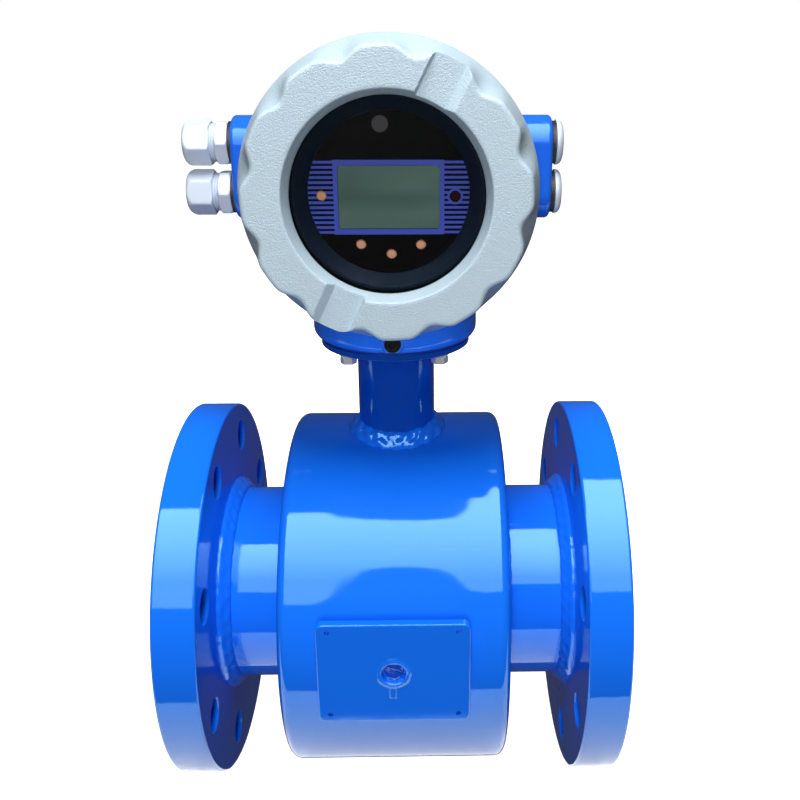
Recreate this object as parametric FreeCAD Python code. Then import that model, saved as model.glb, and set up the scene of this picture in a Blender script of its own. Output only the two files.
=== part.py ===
import FreeCAD, Part
import math
import os

from FreeCAD import Vector

# Flanged electromagnetic flow meter with an integral two-chamber converter head.
# Millimetres. +X is the flow direction, -Y the display side, +Z up.
# The origin is the centre of the measuring tube, half way between the flange faces.

# Measuring tube, lining and flanges (nominal bore 100, pressure class 16)
FACE_TO_FACE = 250.0
TUBE_R = 57.15
TUBE_WALL = 3.0
LINING_T = 4.15
FLANGE_R = 110.0
FLANGE_T = 23.0
FLANGE_ROUND = 1.4
FLANGE_LAND = 20.0
FLANGE_HOLES = 8
FLANGE_HOLE_R = 9.0
HOLE_EDGE = 0.7
FLARE_GAP = 2.0
FLARE_T = 2.0
FLANGE_WELD = 7.0

# Coil housing around the tube
DRUM_R = 103.5
DRUM_HALF = 61.0
DRUM_WALL = 4.0
DRUM_ROUND = 5.5
END_SKIRT = 10.0
END_WELD = 4.5

# Magnet system and electrodes inside the housing
POLE_SHOE_HALF = 30.0
POLE_SHOE_T = 3.0
POLE_SHOE_ANGLE = 80.0
CORE_R = 12.0
COIL_R = 30.0
COIL_GAP = 1.0
YOKE_GAP = 9.5
YOKE_T = 3.0
YOKE_HALF = 22.0
STEM_R = 2.0
STEM_GAP = 5.0
TIP_R = 5.0
TIP_T = 1.5
BUSH_R = 6.0
BUSH_FLANGE_R = 9.0
BUSH_FLANGE_T = 2.0
SLEEVE_R = 11.0
SLEEVE_RISE = 10.85
STEM_NUT_FLATS = 8.0
STEM_NUT_T = 4.0

# Name plate carrier on the front of the housing
PLATE_W = 79.0
PLATE_H = 58.5
PLATE_T = 4.4
PLATE_Z = 9.5
PLATE_CORNER = 4.0
PLATE_ROUND = 1.1
PLATE_HOLE_R = 1.3
PLATE_HOLE_DX = 66.5
PLATE_HOLE_DZ = 49.4
PLUG_WELD_R = 6.2
PLUG_WELD_SINK = 2.2

# Neck between housing and head
NECK_R = 22.0
NECK_WALL = 3.0
NECK_TOP = 156.0
NECK_WELD = 5.0
NECK_TOP_WELD = 3.0
NECK_FLANGE_R = 42.0
NECK_FLANGE_T = 3.2
GASKET_T = 1.0
GASKET_R = 41.0
NECK_BOLT_OFFSET = 25.0
BOLT_R = 2.45
BOLT_CLEAR = 0.3
BOLT_FLATS = 8.0
BOLT_HEAD_T = 3.5
BOLT_DEPTH = 10.0
WASHER_R = 5.0
WASHER_T = 1.0
SPRING_WASHER_R = 4.2
SPRING_WASHER_T = 1.3

# Cast head
HEAD_Z = 246.0
HEAD_R = 72.0
HEAD_HALF = 37.6
SPIGOT_R = 66.7
SPIGOT_END = 52.0
CHAMBER_R = 60.0
WALL_FRONT = 14.0
WALL_REAR = 10.0
BASE_R = 46.0
BASE_ROUND = 6.0
BASE_RISE = 40.0
DUCT_R = 12.0
DUCT_Y = 5.0
BOSS_FACE = 86.0
BOSS_R = 14.5
BOSS_Y = 9.0
BOSS_RISE = 6.0
BOSS_ROUND = 2.5
ENTRY_SPACING = 26.5
ENTRY_R = 10.0
GROUND_RISE = 6.3
GROUND_RECESS_R = 6.0
GROUND_RECESS = 2.5
GROUND_HEAD_R = 4.4
GROUND_HEAD_T = 3.0
GROUND_SOCKET = 4.0
GROUND_LENGTH = 9.0
POST_R = 3.5
POST_PITCH_R = 48.0

# Screwed covers
COVER_BACK = 38.0
COVER_FACE = 75.0
COVER_SKIRT_R = 74.0
COVER_SKIRT_END = 50.0
COVER_LOBE_R = 68.5
COVER_VALLEY_R = 64.1
COVER_ROUND = 1.8
COVER_BACK_ROUND = 1.0
ROUND_STEPS = 3
COVER_SCOOPS = 12
SCOOP_HALF_ANGLE = 10.0
SCOOP_POINTS = 8
SCOOP_FIRST = 12.0
SLOT_ANGLES = (27.0, 205.0)
SLOT_HALF = 10.0
SLOT_DEPTH = 3.5
SLOT_STEEP = 1.0
SLOT_SLOPE = 4.0
THREAD_CLEAR = 0.3
THREAD_END = 54.0
REAR_WALL = 5.0
BASE_TO_COVER = 1.0
GROOVE_START = 39.5
GROOVE_W = 2.4
GROOVE_DEPTH = 2.1
SEAL_CLEAR = 0.3

# Window in the front cover
SEAT_R = 54.0
SEAT_CLEAR = 0.1
LIP_OVERLAP = 7.4
LIP_FLARE = 3.0
LIP_DEPTH = 7.3
LIP_LAND = 0.4
WINDOW_GASKET_T = 1.0
GLASS_T = 5.0
RETAINER_T = 4.0
RETAINER_W = 6.5
NOTCH_R = 2.0

# Display stack in the front chamber (heights are distances in front of the head's middle)
BOARD_T = 1.6
MAIN_BOARD_H = 20.4
MAIN_BOARD_R = 54.0
CARRIER_TAPER = 1.8
CARRIER_WALL = 1.5
LEDGE_W = 2.3
LEDGE_T = 1.5
FACEPLATE_H = 52.0
FACEPLATE_T = 1.5
FACEPLATE_INSET = 7.5
FACEPLATE_CLEAR = 0.2
CUP_FRONT_H = 60.3
CUP_OVERLAP = 0.2
CUP_LIP = 1.6
DISPLAY_BOARD_H = 45.9
DISPLAY_DROP = 2.0
LCD_W = 49.7
LCD_H = 30.8
LCD_FIT = 0.2
LCD_RIM_W = 56.0
LCD_RIM_H = 36.0
LCD_SINK = 0.7
PRINT_T = 0.1
PRINT_W = 53.9
PRINT_H = 36.1
PRINT_CORNER = 2.0
BAR_COUNT = 15
BAR_PITCH = 2.42
BAR_T = 1.3
RING_R = 3.85
KEY_R = 2.0
KEY_HOLE_R = 2.5
KEY_SINK = 0.3
KEY_COLLAR_R = 2.9
KEY_COLLAR_T = 0.8
KEY_GAP = 0.3
SWITCH_W = 6.0
SWITCH_T = 1.7
KEY_EDGE = 6.4
KEY_RISE = 0.9
LOWER_KEYS = {
    "key_lower_left": (-14.2, -23.0),
    "key_lower_middle": (0.8, -27.8),
    "key_lower_right": (15.4, -23.2),
}
RECEIVER_EDGE = 7.0
RECEIVER_RISE = 0.5
RECEIVER_R = 2.6
RECEIVER_SINK = 0.5
LAMP_EDGE = 4.5
LAMP_SHIFT = -3.7
LAMP_R = 3.95
LAMP_SINK = 0.1
POWER_BLOCK = (34.0, 30.0, 15.0)

# Terminals in the rear chamber (heights are distances behind the head's middle)
TERMINAL_BOARD_Y = -4.0
TERMINAL_BOARD_R = 52.0
TERMINAL_W = 50.0
TERMINAL_D = 11.0
TERMINAL_H = 12.0
TERMINAL_LOW = -41.0
TERMINAL_STEP = 22.0
TERMINAL_POLES = 6
CABLE_R = 2.5
CABLE_X = 6.0

# Cable glands on the left boss, blanking plugs on the right boss
GLAND_WASHER_R = 11.3
GLAND_WASHER_T = 2.0
GLAND_FLATS = 22.0
GLAND_CORNER_R = 12.2
GLAND_HEX_T = 6.5
GLAND_STUB = 10.0
GLAND_STUB_CLEAR = 0.1
GLAND_COLLAR_R = 10.6
GLAND_COLLAR_T = 1.6
GLAND_THREAD_R = 9.5
GLAND_THREAD_GAP = 3.3
GLAND_THREAD_L = 11.0
GLAND_BORE_R = 6.0
GLAND_SEAT_R = 7.6
GLAND_SEAT_L = 7.0
GLAND_SEAL_WALL = 2.3
GLAND_NUT_L = 14.7
GLAND_NUT_HEX = 8.5
GLAND_NUT_FRONT_R = 8.0
GLAND_TURNS = {"upper": 12.0, "lower": 24.0}
PLUG_R = 12.0
PLUG_T = 3.6
PLUG_EDGE = 1.2
PLUG_STUB = 8.0
PLUG_GASKET_R = 11.4
PLUG_GASKET_T = 2.5
PLUG_SLOT_W = 2.2
PLUG_SLOT_L = 14.0
PLUG_SLOT_D = 1.4

OVERCUT = 1.0
RIGHT = Vector(1, 0, 0)
LEFT = Vector(-1, 0, 0)
REAR = Vector(0, 1, 0)
FRONT = Vector(0, -1, 0)
UP = Vector(0, 0, 1)
DOWN = Vector(0, 0, -1)
CENTRE = Vector(0, 0, 0)
HEAD = Vector(0, 0, HEAD_Z)
DISPLAY = Vector(0, 0, HEAD_Z - DISPLAY_DROP)

FLANGE_FACE = FACE_TO_FACE / 2 - FLARE_T
FLANGE_BACK = FLANGE_FACE - FLANGE_T
FLANGE_PITCH_R = FLANGE_R - FLANGE_LAND
FLARE_R = FLANGE_PITCH_R - FLANGE_HOLE_R - FLARE_GAP
LINER_R = TUBE_R - TUBE_WALL
BORE_R = LINER_R - LINING_T
YOKE_R = DRUM_R - DRUM_WALL - YOKE_GAP
YOKE_INNER_R = YOKE_R - YOKE_T
SLEEVE_END = TUBE_R + SLEEVE_RISE
STEM_END = YOKE_INNER_R - STEM_GAP
SHOE_R = TUBE_R + POLE_SHOE_T
BUSH_END = SLEEVE_END + BUSH_FLANGE_T
PLATE_BACK = DRUM_R
PLATE_FRONT = PLATE_BACK + PLATE_T
NECK_BORE_R = NECK_R - NECK_WALL
GASKET_Z = NECK_TOP + NECK_FLANGE_T
BASE_Z = GASKET_Z + GASKET_T
THREAD_R = SPIGOT_R + THREAD_CLEAR
GROOVE_R = THREAD_R + GROOVE_DEPTH
LIP_BACK_R = SEAT_R - LIP_OVERLAP
LIP_FRONT_R = LIP_BACK_R + LIP_FLARE
RETAINER_R = SEAT_R - RETAINER_W
CUP_FRONT_R = LIP_BACK_R + CUP_OVERLAP
CARRIER_R = CUP_FRONT_R - CARRIER_TAPER
FACEPLATE_R = CUP_FRONT_R - FACEPLATE_INSET
LEDGE_R = FACEPLATE_R - LEDGE_W
KEYS = {"key_left": (KEY_EDGE - FACEPLATE_R, KEY_RISE), **LOWER_KEYS}
RECEIVER_AT = (FACEPLATE_R - RECEIVER_EDGE, RECEIVER_RISE)
LAMP_AT = (LAMP_SHIFT, FACEPLATE_R - LAMP_EDGE)
LIP_H = COVER_FACE - LIP_DEPTH - LIP_LAND
GLASS_H = LIP_H - WINDOW_GASKET_T
RETAINER_H = GLASS_H - GLASS_T
MAIN_BOARD_FACE = MAIN_BOARD_H + BOARD_T
DISPLAY_BOARD_FACE = DISPLAY_BOARD_H + BOARD_T
FACEPLATE_FACE = FACEPLATE_H + FACEPLATE_T
TERMINAL_BOARD_FACE = TERMINAL_BOARD_Y + BOARD_T
TERMINAL_Z = HEAD_Z + TERMINAL_LOW
GLAND_HEX = BOSS_FACE + GLAND_WASHER_T
GLAND_COLLAR = GLAND_HEX + GLAND_HEX_T
GLAND_THREAD = GLAND_COLLAR + GLAND_COLLAR_T
GLAND_NUT = GLAND_COLLAR + GLAND_THREAD_GAP
GLAND_THREAD_END = GLAND_THREAD + GLAND_THREAD_L
GLAND_NUT_BORE_R = GLAND_THREAD_R + THREAD_CLEAR
PLUG_HEAD = BOSS_FACE + PLUG_GASKET_T
ENTRIES = {
    "upper": HEAD_Z + BOSS_RISE + ENTRY_SPACING / 2,
    "lower": HEAD_Z + BOSS_RISE - ENTRY_SPACING / 2,
}


def placed(shape, origin, direction):
    """Stand a shape drawn along +Z at origin, pointing along direction."""
    moved = shape.copy()
    turn = FreeCAD.Rotation(UP, direction)
    moved.Placement = FreeCAD.Placement(origin, turn).multiply(shape.Placement)
    return moved


def rod(radius, start, end, origin, direction):
    """Cylinder along direction, its ends measured from origin."""
    return Part.makeCylinder(radius, end - start, origin + direction * start, direction)


def ring(outer, inner, start, end, origin, direction):
    """Round tube along direction, its ends measured from origin."""
    blank = rod(outer, start, end, origin, direction)
    return blank.cut(rod(inner, start - OVERCUT, end + OVERCUT, origin, direction))


def turned(profile, origin, direction):
    """Turn a closed profile of (radius, height) points about direction."""
    points = [Vector(radius, 0, height) for radius, height in profile]
    face = Part.Face(Part.makePolygon(points + points[:1]))
    return placed(face.revolve(CENTRE, UP, 360), origin, direction)


def hexagon(flats, start, end, origin, direction, turn=0.0):
    """Hexagonal bar along direction, turned by some degrees about it."""
    corner = flats / math.sqrt(3)
    angles = [math.radians(60 * side + turn) for side in range(7)]
    points = [Vector(corner * math.cos(a), corner * math.sin(a), start) for a in angles]
    bar = Part.Face(Part.makePolygon(points)).extrude(UP * (end - start))
    return placed(bar, origin, direction)


def block(width, height, start, end, origin, direction):
    """Rectangular bar centred on origin, width along X, seen along direction (front or rear)."""
    bar = Part.makeBox(width, height, end - start, Vector(-width / 2, -height / 2, start))
    return placed(bar, origin, direction)


def rounded_block(width, height, corner, start, end, origin, direction):
    """A block whose four long edges are rounded."""
    bar = Part.makeBox(width, height, end - start, Vector(-width / 2, -height / 2, start))
    edges = [e for e in bar.Edges if abs(e.tangentAt(e.FirstParameter).z) > 0.5]
    return placed(bar.makeFillet(corner, edges), origin, direction)


def fused(shapes):
    """One solid out of overlapping shapes."""
    return shapes[0].fuse(shapes[1:]).removeSplitter()


def circles(shape, radius, origin, direction, height):
    """Round edges of one radius that lie at one height along direction."""
    found = []
    for edge in shape.Edges:
        if not isinstance(edge.Curve, Part.Circle):
            continue
        at = (edge.Curve.Center - origin).dot(direction)
        if abs(edge.Curve.Radius - radius) < 0.01 and abs(at - height) < 0.01:
            found.append(edge)
    return found


def face_point(right, up):
    """Point on the display's axis plane, measured from the middle of the screen."""
    return DISPLAY + Vector(right, 0, up)


# Sensor


def measuring_tube():
    tube = ring(TUBE_R, LINER_R, -FLANGE_FACE, FLANGE_FACE, CENTRE, RIGHT)
    return tube.cut(rod(BUSH_R, -TUBE_R, TUBE_R, CENTRE, REAR))


def flange(direction):
    """Slip-on flange, its bolt holes straddling the vertical."""
    disc = ring(FLANGE_R, TUBE_R, FLANGE_BACK, FLANGE_FACE, CENTRE, direction)
    rims = circles(disc, FLANGE_R, CENTRE, direction, FLANGE_BACK)
    rims += circles(disc, FLANGE_R, CENTRE, direction, FLANGE_FACE)
    disc = disc.makeFillet(FLANGE_ROUND, rims)
    for hole in range(FLANGE_HOLES):
        angle = math.radians((hole + 0.5) * 360 / FLANGE_HOLES)
        centre = Vector(0, math.sin(angle), math.cos(angle)) * FLANGE_PITCH_R
        drill = rod(FLANGE_HOLE_R, FLANGE_BACK - OVERCUT, FLANGE_FACE + OVERCUT, centre, direction)
        disc = disc.cut(drill)
    mouths = [e for e in disc.Edges if is_hole_mouth(e)]
    return disc.makeChamfer(HOLE_EDGE, mouths)


def is_hole_mouth(edge):
    """True for the round edge of a bolt hole on the back of its flange."""
    if not isinstance(edge.Curve, Part.Circle):
        return False
    on_back = abs(abs(edge.Curve.Center.x) - FLANGE_BACK) < 0.01
    return on_back and abs(edge.Curve.Radius - FLANGE_HOLE_R) < 0.01


def weld_ring(radius, foot, leg, direction):
    """Fillet weld round a tube, foot on a plate at height foot, running along direction."""
    bulge = 0.58 * leg
    start = Vector(radius + leg, 0, foot)
    crown = Vector(radius + bulge, 0, foot + bulge)
    end = Vector(radius, 0, foot + leg)
    root = Vector(radius, 0, foot)
    arc = Part.Arc(start, crown, end).toShape()
    wire = Part.Wire([arc, Part.makeLine(end, root), Part.makeLine(root, start)])
    bead = Part.Face(wire).revolve(CENTRE, UP, 360)
    return placed(bead, CENTRE, direction)


def flange_welds():
    return Part.makeCompound([
        weld_ring(TUBE_R, -FLANGE_BACK, FLANGE_WELD, side) for side in (LEFT, RIGHT)
    ])


def housing_welds():
    return Part.makeCompound([
        weld_ring(TUBE_R, DRUM_HALF, END_WELD, side) for side in (LEFT, RIGHT)
    ])


def rubber_liner():
    """Moulded lining inside the measuring tube."""
    lining = ring(LINER_R, BORE_R, -FLANGE_FACE, FLANGE_FACE, CENTRE, RIGHT)
    lining = lining.cut(rod(STEM_R, -LINER_R, LINER_R, CENTRE, REAR))
    return lining.cut(rod(TIP_R, -BORE_R - TIP_T, BORE_R + TIP_T, CENTRE, REAR))


def liner_flares():
    """The lining turned out over both flange faces."""
    end = FACE_TO_FACE / 2
    return Part.makeCompound([
        ring(FLARE_R, BORE_R, FLANGE_FACE, end, CENTRE, side) for side in (LEFT, RIGHT)
    ])


def housing_shell():
    half = DRUM_HALF - END_SKIRT
    shell = ring(DRUM_R, DRUM_R - DRUM_WALL, -half, half, CENTRE, RIGHT)
    return shell.cut(rod(NECK_BORE_R, 0, DRUM_R + OVERCUT, CENTRE, UP))


def housing_end(direction):
    """Dished end plate with a rounded rim."""
    start = DRUM_HALF - END_SKIRT
    inner_r = DRUM_R - DRUM_WALL
    cap = rod(DRUM_R, start, DRUM_HALF, CENTRE, direction)
    cap = cap.makeFillet(DRUM_ROUND, circles(cap, DRUM_R, CENTRE, direction, DRUM_HALF))
    hollow = rod(inner_r, start - OVERCUT, DRUM_HALF - DRUM_WALL, CENTRE, direction)
    rim = circles(hollow, inner_r, CENTRE, direction, DRUM_HALF - DRUM_WALL)
    cap = cap.cut(hollow.makeFillet(DRUM_ROUND - DRUM_WALL, rim))
    return cap.cut(rod(TUBE_R, 0, DRUM_HALF + OVERCUT, CENTRE, direction))


def nameplate_carrier():
    """Flat plate standing against the drum, with four rivet holes and a weld hole."""
    at = Vector(0, 0, PLATE_Z)
    plate = rounded_block(PLATE_W, PLATE_H, PLATE_CORNER, PLATE_BACK, PLATE_FRONT, at, FRONT)
    rim = [e for e in plate.Edges if abs(e.BoundBox.YMin + PLATE_FRONT) < 0.01 and e.BoundBox.YLength < 0.01]
    plate = plate.makeFillet(PLATE_ROUND, rim)
    for right in (-PLATE_HOLE_DX / 2, PLATE_HOLE_DX / 2):
        for up in (-PLATE_HOLE_DZ / 2, PLATE_HOLE_DZ / 2):
            centre = at + Vector(right, 0, up)
            plate = plate.cut(rod(PLATE_HOLE_R, 0, PLATE_FRONT + OVERCUT, centre, FRONT))
    return plate.cut(rod(PLUG_WELD_R, 0, PLATE_FRONT + OVERCUT, at, FRONT))


def nameplate_plug_weld():
    """Weld metal that fills the bottom of the plate's hole and grips the drum."""
    at = Vector(0, 0, PLATE_Z)
    weld = rod(PLUG_WELD_R, BORE_R, PLATE_FRONT - PLUG_WELD_SINK, at, FRONT)
    return weld.cut(rod(DRUM_R, -DRUM_HALF, DRUM_HALF, CENTRE, RIGHT))


def pole_pieces():
    """Curved shoe on the tube with a round core up to the yoke, above and below."""
    pieces = []
    inside = rod(YOKE_INNER_R, -POLE_SHOE_HALF, POLE_SHOE_HALF, CENTRE, RIGHT)
    for side in (UP, DOWN):
        base = RIGHT * -POLE_SHOE_HALF
        shoe = Part.makeCylinder(SHOE_R, 2 * POLE_SHOE_HALF, base, RIGHT, POLE_SHOE_ANGLE)
        middle = shoe.CenterOfMass
        start = math.degrees(math.atan2(middle.z, middle.y))
        shoe.rotate(CENTRE, RIGHT, 90 * side.z - start)
        core = rod(CORE_R, BORE_R, YOKE_R, CENTRE, side).common(inside)
        piece = fused([shoe, core])
        pieces.append(piece.cut(rod(TUBE_R, -FLANGE_FACE, FLANGE_FACE, CENTRE, RIGHT)))
    return Part.makeCompound(pieces)


def coils():
    start = SHOE_R + COIL_GAP
    end = YOKE_INNER_R - COIL_GAP - (YOKE_INNER_R - math.sqrt(YOKE_INNER_R**2 - COIL_R**2))
    return Part.makeCompound([ring(COIL_R, CORE_R, start, end, CENTRE, side) for side in (UP, DOWN)])


def return_yoke():
    return ring(YOKE_R, YOKE_INNER_R, -YOKE_HALF, YOKE_HALF, CENTRE, RIGHT)


def electrodes():
    """Two measuring electrodes, tips flush with the lining at half height, each with its nut."""
    pieces = []
    for side in (FRONT, REAR):
        tip = rod(TIP_R, BORE_R, BORE_R + TIP_T, CENTRE, side)
        stem = rod(STEM_R, BORE_R, STEM_END, CENTRE, side)
        nut = hexagon(STEM_NUT_FLATS, BUSH_END, BUSH_END + STEM_NUT_T, CENTRE, side)
        pieces += [fused([tip, stem]), nut.cut(stem)]
    return Part.makeCompound(pieces)


def electrode_bushes():
    """Insulating bushes through the tube wall, clamped on the sleeves."""
    pieces = []
    for side in (FRONT, REAR):
        body = rod(BUSH_R, LINER_R, BUSH_END, CENTRE, side)
        collar = rod(BUSH_FLANGE_R, SLEEVE_END, BUSH_END, CENTRE, side)
        bush = fused([body, collar])
        pieces.append(bush.cut(rod(STEM_R, 0, STEM_END, CENTRE, side)))
    return Part.makeCompound(pieces)


def electrode_sleeves():
    """Steel sleeves welded to the tube, which carry the bushes."""
    pieces = []
    for side in (FRONT, REAR):
        sleeve = ring(SLEEVE_R, BUSH_R, BORE_R, SLEEVE_END, CENTRE, side)
        pieces.append(sleeve.cut(rod(TUBE_R, -FLANGE_FACE, FLANGE_FACE, CENTRE, RIGHT)))
    return Part.makeCompound(pieces)


# Neck


def neck_tube():
    """Pipe saddled onto the drum."""
    tube = ring(NECK_R, NECK_BORE_R, BORE_R, NECK_TOP, CENTRE, UP)
    return tube.cut(rod(DRUM_R, -DRUM_HALF, DRUM_HALF, CENTRE, RIGHT))


def neck_welds():
    """Fillet weld along the saddle, and a small one under the neck flange."""
    drum = rod(DRUM_R, -DRUM_HALF, DRUM_HALF, CENTRE, RIGHT)
    joint = drum.fuse(rod(NECK_R, BORE_R, NECK_TOP, CENTRE, UP))
    saddle = [e for e in joint.Edges if is_saddle(e)]
    bead = joint.makeFillet(NECK_WELD, saddle).cut(joint)
    under = weld_ring(NECK_R, -NECK_TOP, NECK_TOP_WELD, DOWN)
    return Part.makeCompound(bead.Solids + under.Solids)


def is_saddle(edge):
    """True for the edges where the neck meets the drum."""
    box = edge.BoundBox
    low = math.sqrt(DRUM_R**2 - NECK_R**2)
    inside = max(abs(box.XMin), abs(box.XMax)) < NECK_R + 0.1
    return inside and box.ZMin > low - 0.1 and box.ZMax < DRUM_R + 0.1


def bolt_places():
    """Centres of the four bolts that hold the head."""
    offsets = (-NECK_BOLT_OFFSET, NECK_BOLT_OFFSET)
    return [Vector(x, y, 0) for x in offsets for y in offsets]


def drilled(plate, bottom, top):
    """Cut the four bolt clearance holes and the wire hole through a plate."""
    for place in bolt_places():
        plate = plate.cut(rod(BOLT_R + BOLT_CLEAR, bottom - OVERCUT, top + OVERCUT, place, UP))
    return plate.cut(rod(NECK_BORE_R, bottom - OVERCUT, top + OVERCUT, CENTRE, UP))


def neck_flange():
    disc = rod(NECK_FLANGE_R, NECK_TOP, GASKET_Z, CENTRE, UP)
    disc = disc.makeFillet(HOLE_EDGE, circles(disc, NECK_FLANGE_R, CENTRE, UP, NECK_TOP))
    return drilled(disc, NECK_TOP, GASKET_Z)


def neck_gasket():
    return drilled(rod(GASKET_R, GASKET_Z, BASE_Z, CENTRE, UP), GASKET_Z, BASE_Z)


def neck_bolts():
    """Four hexagon bolts, each with a flat and a spring washer."""
    pieces = []
    washer_z = NECK_TOP - WASHER_T
    spring_z = washer_z - SPRING_WASHER_T
    head_z = spring_z - BOLT_HEAD_T
    for place in bolt_places():
        head = hexagon(BOLT_FLATS, head_z, spring_z, place, UP)
        shank = rod(BOLT_R, head_z, BASE_Z + BOLT_DEPTH, place, UP)
        pieces.append(fused([head, shank]))
        pieces.append(ring(WASHER_R, BOLT_R, washer_z, NECK_TOP, place, UP))
        pieces.append(ring(SPRING_WASHER_R, BOLT_R, spring_z, washer_z, place, UP))
    return Part.makeCompound(pieces)


def sensor_cables():
    """Coil and signal cable, from the yoke up the neck to the terminals."""
    pieces = []
    for x in (-CABLE_X, CABLE_X):
        cable = rod(CABLE_R, YOKE_INNER_R, TERMINAL_Z, Vector(x, DUCT_Y, 0), UP)
        pieces.append(cable.cut(rod(YOKE_R, -YOKE_HALF, YOKE_HALF, CENTRE, RIGHT)))
    return Part.makeCompound(pieces)


# Head casting


def stadium(radius, spacing, reach):
    """Bar along X with half-round top and bottom, through both cable bosses."""
    at = Vector(0, BOSS_Y, HEAD_Z + BOSS_RISE)
    body = Part.makeBox(2 * reach, 2 * radius, spacing, at - Vector(reach, radius, spacing / 2))
    ends = [rod(radius, -reach, reach, Vector(0, BOSS_Y, z), RIGHT) for z in ENTRIES.values()]
    bar = fused([body] + ends)
    rims = [e for e in bar.Edges if e.BoundBox.XLength < 0.01]
    return bar.makeFillet(BOSS_ROUND, rims)


def head_base():
    """Round foot of the casting, cut back to clear the turning covers."""
    foot = rod(BASE_R, BASE_Z, BASE_Z + BASE_RISE, CENTRE, UP)
    foot = foot.makeFillet(BASE_ROUND, circles(foot, BASE_R, CENTRE, UP, BASE_Z))
    clear_r = COVER_SKIRT_R + BASE_TO_COVER
    for side in (FRONT, REAR):
        foot = foot.cut(rod(clear_r, HEAD_HALF, BASE_R + OVERCUT, HEAD, side))
    return foot


def head_drum():
    """Round block of the casting between the covers, before it is hollowed."""
    return rod(HEAD_R, -HEAD_HALF, HEAD_HALF, HEAD, REAR)


def cable_duct():
    """Wire hole from the neck up into the head."""
    return rod(DUCT_R, 0, HEAD_Z - CHAMBER_R + DUCT_R, Vector(0, DUCT_Y, 0), UP)


def tapped(body):
    """Cut the four cable entries."""
    for z in ENTRIES.values():
        for side in (LEFT, RIGHT):
            tap = rod(ENTRY_R, CHAMBER_R - DUCT_R, BOSS_FACE + OVERCUT, Vector(0, BOSS_Y, z), side)
            body = body.cut(tap)
    return body


def head_housing():
    """Drum of the cast head: a spigot at each end, a chamber behind each, a partition between."""
    body = fused([head_drum(), rod(SPIGOT_R, -SPIGOT_END, SPIGOT_END, HEAD, REAR)])
    body = body.cut(rod(CHAMBER_R, WALL_FRONT, SPIGOT_END + OVERCUT, HEAD, FRONT))
    body = body.cut(rod(CHAMBER_R, -WALL_REAR, SPIGOT_END + OVERCUT, HEAD, REAR))
    return fused([tapped(body.cut(cable_duct()))] + board_posts())


def head_bosses():
    """Cable bosses of the casting, outside its drum."""
    return tapped(stadium(BOSS_R, ENTRY_SPACING, BOSS_FACE).cut(head_drum()))


def head_foot():
    """Foot of the casting under its drum, with the bolt holes and the ground screw's seat."""
    foot = head_base().cut(head_drum()).cut(cable_duct())
    for place in bolt_places():
        foot = foot.cut(rod(BOLT_R, 0, BASE_Z + BOLT_DEPTH, place, UP))
    ground = Vector(0, 0, BASE_Z + GROUND_RISE)
    seat = BASE_R - GROUND_RECESS
    foot = foot.cut(rod(GROUND_RECESS_R, seat, BASE_R + OVERCUT, ground, FRONT))
    return foot.cut(rod(BOLT_R, seat - GROUND_LENGTH, BASE_R, ground, FRONT))


def board_posts():
    """Cast posts that carry the main board in front and the terminal board behind."""
    posts = []
    for post in range(3):
        angle = math.radians(30 + 120 * post)
        centre = HEAD + Vector(math.cos(angle), 0, math.sin(angle)) * POST_PITCH_R
        posts.append(rod(POST_R, -MAIN_BOARD_H, TERMINAL_BOARD_Y, centre, REAR))
    return posts


def ground_screw():
    """Socket head screw in a spot face on the front of the foot."""
    at = Vector(0, 0, BASE_Z + GROUND_RISE)
    seat = BASE_R - GROUND_RECESS
    head = rod(GROUND_HEAD_R, seat, seat + GROUND_HEAD_T, at, FRONT)
    head = head.makeFillet(HOLE_EDGE, circles(head, GROUND_HEAD_R, at, FRONT, seat + GROUND_HEAD_T))
    screw = fused([head, rod(BOLT_R, seat - GROUND_LENGTH, seat, at, FRONT)])
    socket_end = seat + GROUND_HEAD_T + OVERCUT
    return screw.cut(hexagon(GROUND_SOCKET, seat + OVERCUT, socket_end, at, FRONT))


# Covers


def cover_outline(height, inset):
    """Closed smooth outline of the cover at one height; the finger scoops deepen to the front."""
    share = max(0, (height - COVER_SKIRT_END) / (COVER_FACE - COVER_SKIRT_END))
    lobe_r = COVER_SKIRT_R + share * (COVER_LOBE_R - COVER_SKIRT_R) - inset
    depth = share * (COVER_LOBE_R - COVER_VALLEY_R)
    points = []
    for n in range(COVER_SCOOPS * SCOOP_POINTS):
        turn = n * 360 / (COVER_SCOOPS * SCOOP_POINTS)
        off = abs(turn - 360 / COVER_SCOOPS * round(turn * COVER_SCOOPS / 360))
        dip = math.cos(math.radians(90 * min(off / SCOOP_HALF_ANGLE, 1))) ** 2
        angle = math.radians(90 - SCOOP_FIRST - turn)
        radius = lobe_r - depth * dip
        points.append(Vector(radius * math.cos(angle), radius * math.sin(angle), height))
    outline = Part.BSplineCurve()
    outline.interpolate(points, PeriodicFlag=True)
    return Part.Wire([outline.toShape()])


def rounded_steps(radius):
    """Depth and inset of the outlines that step round an edge, outer side first."""
    angles = [math.radians(90 * n / ROUND_STEPS) for n in range(ROUND_STEPS + 1)]
    return [(radius * (1 - math.sin(a)), radius * (1 - math.cos(a))) for a in angles]


def spanner_slot(angle):
    """Radial slot across the rim, one flank steep and one sloped."""
    top = COVER_FACE + OVERCUT
    floor = COVER_FACE - SLOT_DEPTH
    steep = SLOT_HALF - SLOT_STEEP
    slope = SLOT_HALF - SLOT_SLOPE
    section = [(-SLOT_HALF, top), (-steep, floor), (slope, floor), (SLOT_HALF, top)]
    points = [Vector(LEDGE_R, -x, z) for x, z in section]
    bar = Part.Face(Part.makePolygon(points + points[:1])).extrude(Vector(COVER_SKIRT_R, 0, 0))
    bar.rotate(CENTRE, UP, 90 - angle)
    return bar


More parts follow.
